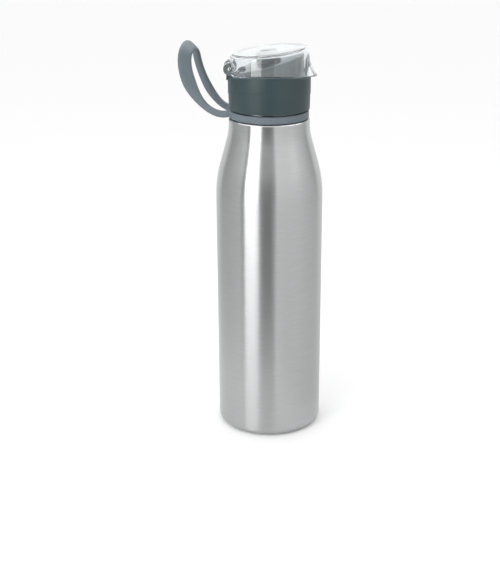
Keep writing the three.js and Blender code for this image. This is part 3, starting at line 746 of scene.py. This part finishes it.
def makeLid():
    shell = spinProfile("lidCover", lidOutline(), 192)
    bendLid(shell, 0)
    lip = spinProfile("thumbTab", lipOutline(), 192)
    bendLid(lip, lid["tabReach"] + lid["lipSink"])
    rim, wide = lid["rim"], 1.5 * capRadius
    tabSide = block("tabSide", (capRadius / 2, -wide, rim - wide), (2 * wide, wide, rim + wide))
    combine(lip, tabSide, "INTERSECT")
    combine(shell, lip, "UNION")
    cutRelief(shell)
    addHingeArms(shell)
    addPlugStud(shell)
    pickOnly(shell)
    bpy.ops.object.mode_set(mode="EDIT")
    bpy.ops.mesh.select_all(action="SELECT")
    bpy.ops.mesh.remove_doubles(threshold=lid["weld"] * mm)
    bpy.ops.mesh.fill_holes(sides=8)
    closeUp(shell)
    shell.visible_shadow = False  # clear plastic lets the light through to the spout
    return smooth(shell, 32)


plug = {"radius": 7.75, "top": 255.6, "noseRoot": 5.3, "noseEnd": 4.8, "noseLow": 248.2, "noseEdge": 0.5,
        "noseSunk": 2.6, "gap": 0.31, "edge": 0.4, "studGap": 0.3}


def makePlug():
    core = post("lidPlug", plug["radius"], spout["deckZ"] - 4 * pastPiece, plug["top"], spout["holeX"], 96)
    sliceAway(core, spout["deckZ"] + plug["gap"], deckSlope, above=False)
    softenEdges(core, plug["edge"], 3, 50)
    low, end, root, edge = plug["noseLow"], plug["noseEnd"], plug["noseRoot"], plug["noseEdge"]
    sunk = plug["top"] - plug["noseSunk"]
    profile = [(0, low), (end - edge, low), (end, low + edge)]
    profile += [(root, spout["deckZ"]), (root, sunk), (0, sunk)]
    nose = spinProfile("nose", profile, 64)
    pickOnly(nose)
    nose.location = (spout["holeX"] * mm, 0, 0)
    bpy.ops.object.transform_apply(location=True, rotation=True, scale=True)
    combine(core, nose, "UNION")
    gap, past = plug["studGap"], plug["top"] + pastPiece
    socket = post("socket", lid["stud"] + gap, lid["studLow"] - gap, past, spout["holeX"], 48)
    combine(core, socket, "DIFFERENCE")
    return smooth(core)


fit(makeLid(), "lid", "lid_cover", clear)
fit(makePlug(), "lid", "lid_plug", sealSkin)

# studio: pale floor, soft cards and the photo's viewing angle
studio = {"floor": (0.96, 0.96, 0.96), "floorSize": 12.0, "floorRoughness": 0.8, "world": 1.0,
          "cameraPlace": (0, -0.722, 0.366), "cameraPitch": 69.28, "lens": 68.6, "sensor": 36.0,
          "shift": -0.033, "shineBounces": 12}
softbox = {"span": (-52, -23), "distance": 0.55, "lights": True}
leftSide = {"span": (-125, -60), "distance": 0.6}
rightSide = {"span": (13, 125), "distance": 0.6}
cameraSide = {"span": (-20, 13), "distance": 0.54}
backSide = {"span": (150, 210), "distance": 0.6}
gapSide = {"span": (-60, -53), "distance": 0.53}
standingCards = {"softboxTop": {**softbox, "height": (0.27, 0.7), "strength": (4.2, 2.2)},
                 "softboxHigh": {**softbox, "height": (0.12, 0.27), "strength": (6.6, 5.8)},
                 "softboxLow": {**softbox, "height": (0.01, 0.12), "strength": (1.9, 1.3)},
                 "gapFlag": {**gapSide, "height": (0.0, 0.7), "strength": (0.02, 0.02)},
                 "leftBoard": {**leftSide, "height": (0.12, 0.6), "strength": (0.56, 0.72)},
                 "leftLow": {**leftSide, "height": (0.0, 0.12), "strength": (0.53, 0.7)},
                 "rightBoard": {**rightSide, "height": (0.12, 0.6), "strength": (1.4, 0.5)},
                 "rightLow": {**rightSide, "height": (0.0, 0.12), "strength": (1.4, 0.5)},
                 "backCard": {**backSide, "height": (0.3, 0.8), "strength": (1.1, 1.1)},
                 "lowFlag": {**cameraSide, "height": (0.0, 0.12), "strength": (0.4, 0.4)},
                 "cameraFlag": {**cameraSide, "height": (0.12, 0.34), "strength": (0.02, 0.02)}}
lyingCards = {"topBox": {"place": (0, 0.25, 1.0), "size": (1.8, 1.0), "strength": (5.0, 5.0)},
              "floorFlag": {"place": (-0.035, -0.36, 0.003), "size": (0.15, 0.36), "strength": (0.12, 0.12)},
              "leftFloor": {"place": (-0.45, 0.125, 0.004), "size": (0.6, 0.75), "strength": (0.88, 0.88)},
              "rightFloor": {"place": (0.4, -0.125, 0.004), "size": (0.7, 1.25), "strength": (0.9, 0.9)}}


def glow(name, strength):  # strength runs from the card's left end to its right end
    material = bpy.data.materials.new(name)
    material.use_nodes = True
    tree = material.node_tree
    tree.nodes.clear()
    light = tree.nodes.new("ShaderNodeEmission")
    coords = tree.nodes.new("ShaderNodeTexCoord")
    parts = tree.nodes.new("ShaderNodeSeparateXYZ")
    ranger = tree.nodes.new("ShaderNodeMapRange")
    ranger.inputs["From Min"].default_value = -0.5
    ranger.inputs["From Max"].default_value = 0.5
    ranger.inputs["To Min"].default_value = strength[0]
    ranger.inputs["To Max"].default_value = strength[1]
    tree.links.new(coords.outputs["Object"], parts.inputs["Vector"])
    tree.links.new(parts.outputs["X"], ranger.inputs["Value"])
    tree.links.new(ranger.outputs["Result"], light.inputs["Strength"])
    tree.links.new(light.outputs["Emission"], tree.nodes.new("ShaderNodeOutputMaterial").inputs["Surface"])
    return material


def offCamera(name, strength, lights):  # a card that shows only in the shine, or also lights the scene
    piece = named(name)
    piece.data.materials.append(glow(name, strength))
    piece.visible_camera = False
    piece.visible_diffuse = lights
    piece.visible_transmission = False
    piece.visible_shadow = False
    return piece


def standCard(name, span, distance, height, strength, lights=False):  # 0 degrees is the camera's side
    middle = math.radians(sum(span) / 2)
    width = 2 * distance * math.tan(math.radians((span[1] - span[0]) / 2))
    place = (distance * math.sin(middle), -distance * math.cos(middle), sum(height) / 2)
    pickNothing()
    bpy.ops.mesh.primitive_plane_add(size=1, location=place, rotation=(math.pi / 2, 0, middle))
    offCamera(name, strength, lights).scale = (width, height[1] - height[0], 1)


def layCard(name, place, size, strength):
    pickNothing()
    bpy.ops.mesh.primitive_plane_add(size=1, location=place)
    offCamera(name, strength, False).scale = (*size, 1)


def makeStudio():
    world = bpy.context.scene.world or bpy.data.worlds.new("studio")
    bpy.context.scene.world = world
    world.use_nodes = True
    world.node_tree.nodes["Background"].inputs["Color"].default_value = (1, 1, 1, 1)
    world.node_tree.nodes["Background"].inputs["Strength"].default_value = studio["world"]
    pickNothing()
    bpy.ops.mesh.primitive_plane_add(size=studio["floorSize"])
    floor = named("floor")
    material, _, shader = newFinish("paleFloor")
    shader.inputs["Base Color"].default_value = (*studio["floor"], 1)
    shader.inputs["Roughness"].default_value = studio["floorRoughness"]
    floor.data.materials.append(material)
    for name, facts in standingCards.items():
        standCard(name, **facts)
    for name, facts in lyingCards.items():
        layCard(name, **facts)
    pickNothing()
    pitch = math.radians(studio["cameraPitch"])
    bpy.ops.object.camera_add(location=studio["cameraPlace"], rotation=(pitch, 0, 0))
    camera = bpy.context.object
    camera.data.lens = studio["lens"]
    camera.data.sensor_width = studio["sensor"]
    camera.data.shift_x = studio["shift"]
    bpy.context.scene.camera = camera
    bpy.context.scene.view_settings.view_transform = "Standard"
    bpy.context.scene.cycles.glossy_bounces = studio["shineBounces"]  # light runs on inside the clear lid


makeStudio()
print("studio set")
